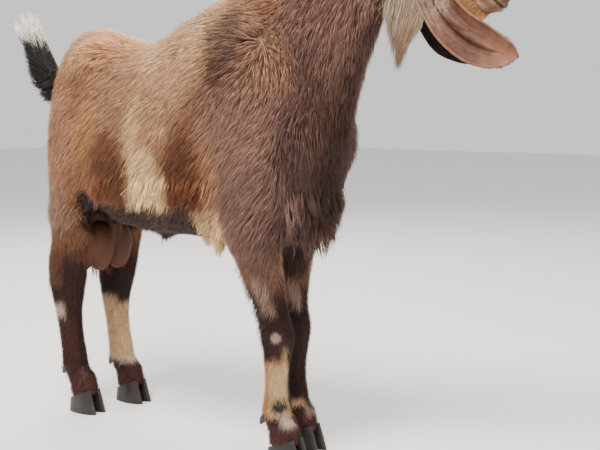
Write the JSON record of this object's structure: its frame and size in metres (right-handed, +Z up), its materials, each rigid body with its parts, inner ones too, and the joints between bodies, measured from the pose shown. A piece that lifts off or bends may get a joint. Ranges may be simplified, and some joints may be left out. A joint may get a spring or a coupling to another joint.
{
  "type": "nubian goat buck",
  "caption": "Life-size standing Nubian buck, head turned a little left, long hanging ears, arched nose, raised tail, throat beard.",
  "frame": {"origin": "on the ground under the middle of the box round the whole goat", "axes": "+X the way the goat's body faces, +Y its left side, +Z up"},
  "size_m": [1.3952, 0.3366, 1.1305],
  "materials": {
    "coat_brown": "mid-length soft goat hair, tan to maroon brown with cream patches, laid back and down",
    "coat_dark": "short dark brown goat hair with cream leg markings",
    "coat_grey": "long soft grey and tan beard hair",
    "ear_skin": "thin bare pink-brown skin inside, short black hair outside",
    "scrotum_skin": "warm brown skin under fine short hair",
    "hoof_horn": "dull dark grey horn with growth rings",
    "eye": "wet amber eye with a level oblong pupil"
  },
  "bodies": {
    "root": {"torso": "coat_brown", "neck": "coat_brown", "head": "coat_brown", "beard": "coat_grey", "chin_tuft": "coat_grey", "tail": "coat_dark", "ear_right": "ear_skin", "ear_left": "ear_skin", "eye_right": "eye", "eye_left": "eye", "leg_fore_right": "coat_dark", "leg_fore_left": "coat_dark", "leg_hind_right": "coat_dark", "leg_hind_left": "coat_dark", "scrotum": "scrotum_skin", "claw_fore_right_outer": "hoof_horn", "claw_fore_right_inner": "hoof_horn", "claw_fore_left_outer": "hoof_horn", "claw_fore_left_inner": "hoof_horn", "claw_hind_right_outer": "hoof_horn", "claw_hind_right_inner": "hoof_horn", "claw_hind_left_outer": "hoof_horn", "claw_hind_left_inner": "hoof_horn"}
  },
  "joints": []
}
